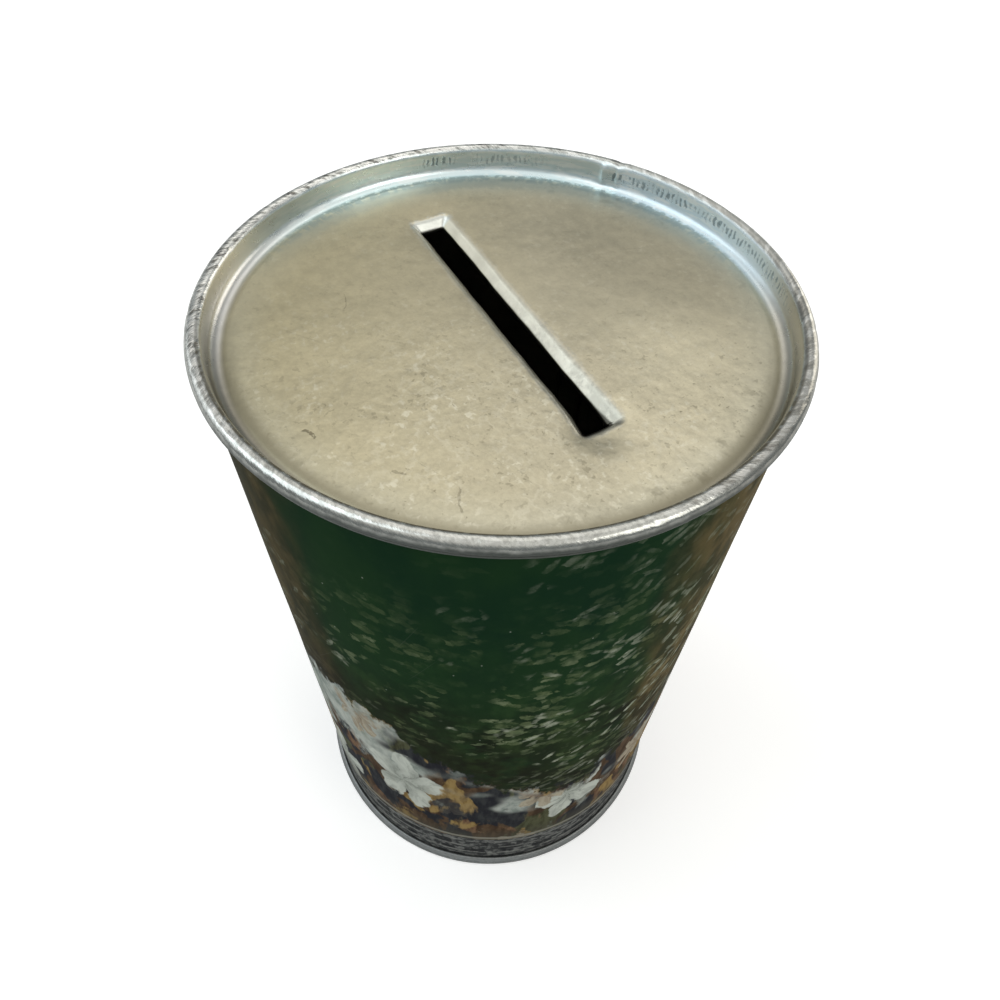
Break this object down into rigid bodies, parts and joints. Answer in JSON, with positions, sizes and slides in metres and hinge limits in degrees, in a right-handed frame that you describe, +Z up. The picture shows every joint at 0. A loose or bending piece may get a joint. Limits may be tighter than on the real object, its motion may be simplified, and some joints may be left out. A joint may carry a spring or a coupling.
{
  "type": "can-shaped coin bank",
  "caption": "Tin-plate coin bank shaped like a small round can, with double-seamed ends, a long slot in the top and a printed body.",
  "frame": {"origin": "centre of the base, where the can stands", "axes": "+Z up along the can's axis, +X along the coin slot"},
  "size_m": [0.054, 0.054, 0.087],
  "materials": {
    "printed_tin": "glossy varnish over a printed pattern",
    "solder": "dull grey",
    "tin_plate_top": "matt lacquered tin plate",
    "tin_plate_bottom": "matt tin plate, worn",
    "sealing_compound": "matt"
  },
  "bodies": {
    "root": {"body_shell": "printed_tin", "side_seam_solder": "solder", "top_end": "tin_plate_top", "top_seam_compound": "sealing_compound", "bottom_end": "tin_plate_bottom", "bottom_seam_compound": "sealing_compound"}
  },
  "joints": []
}
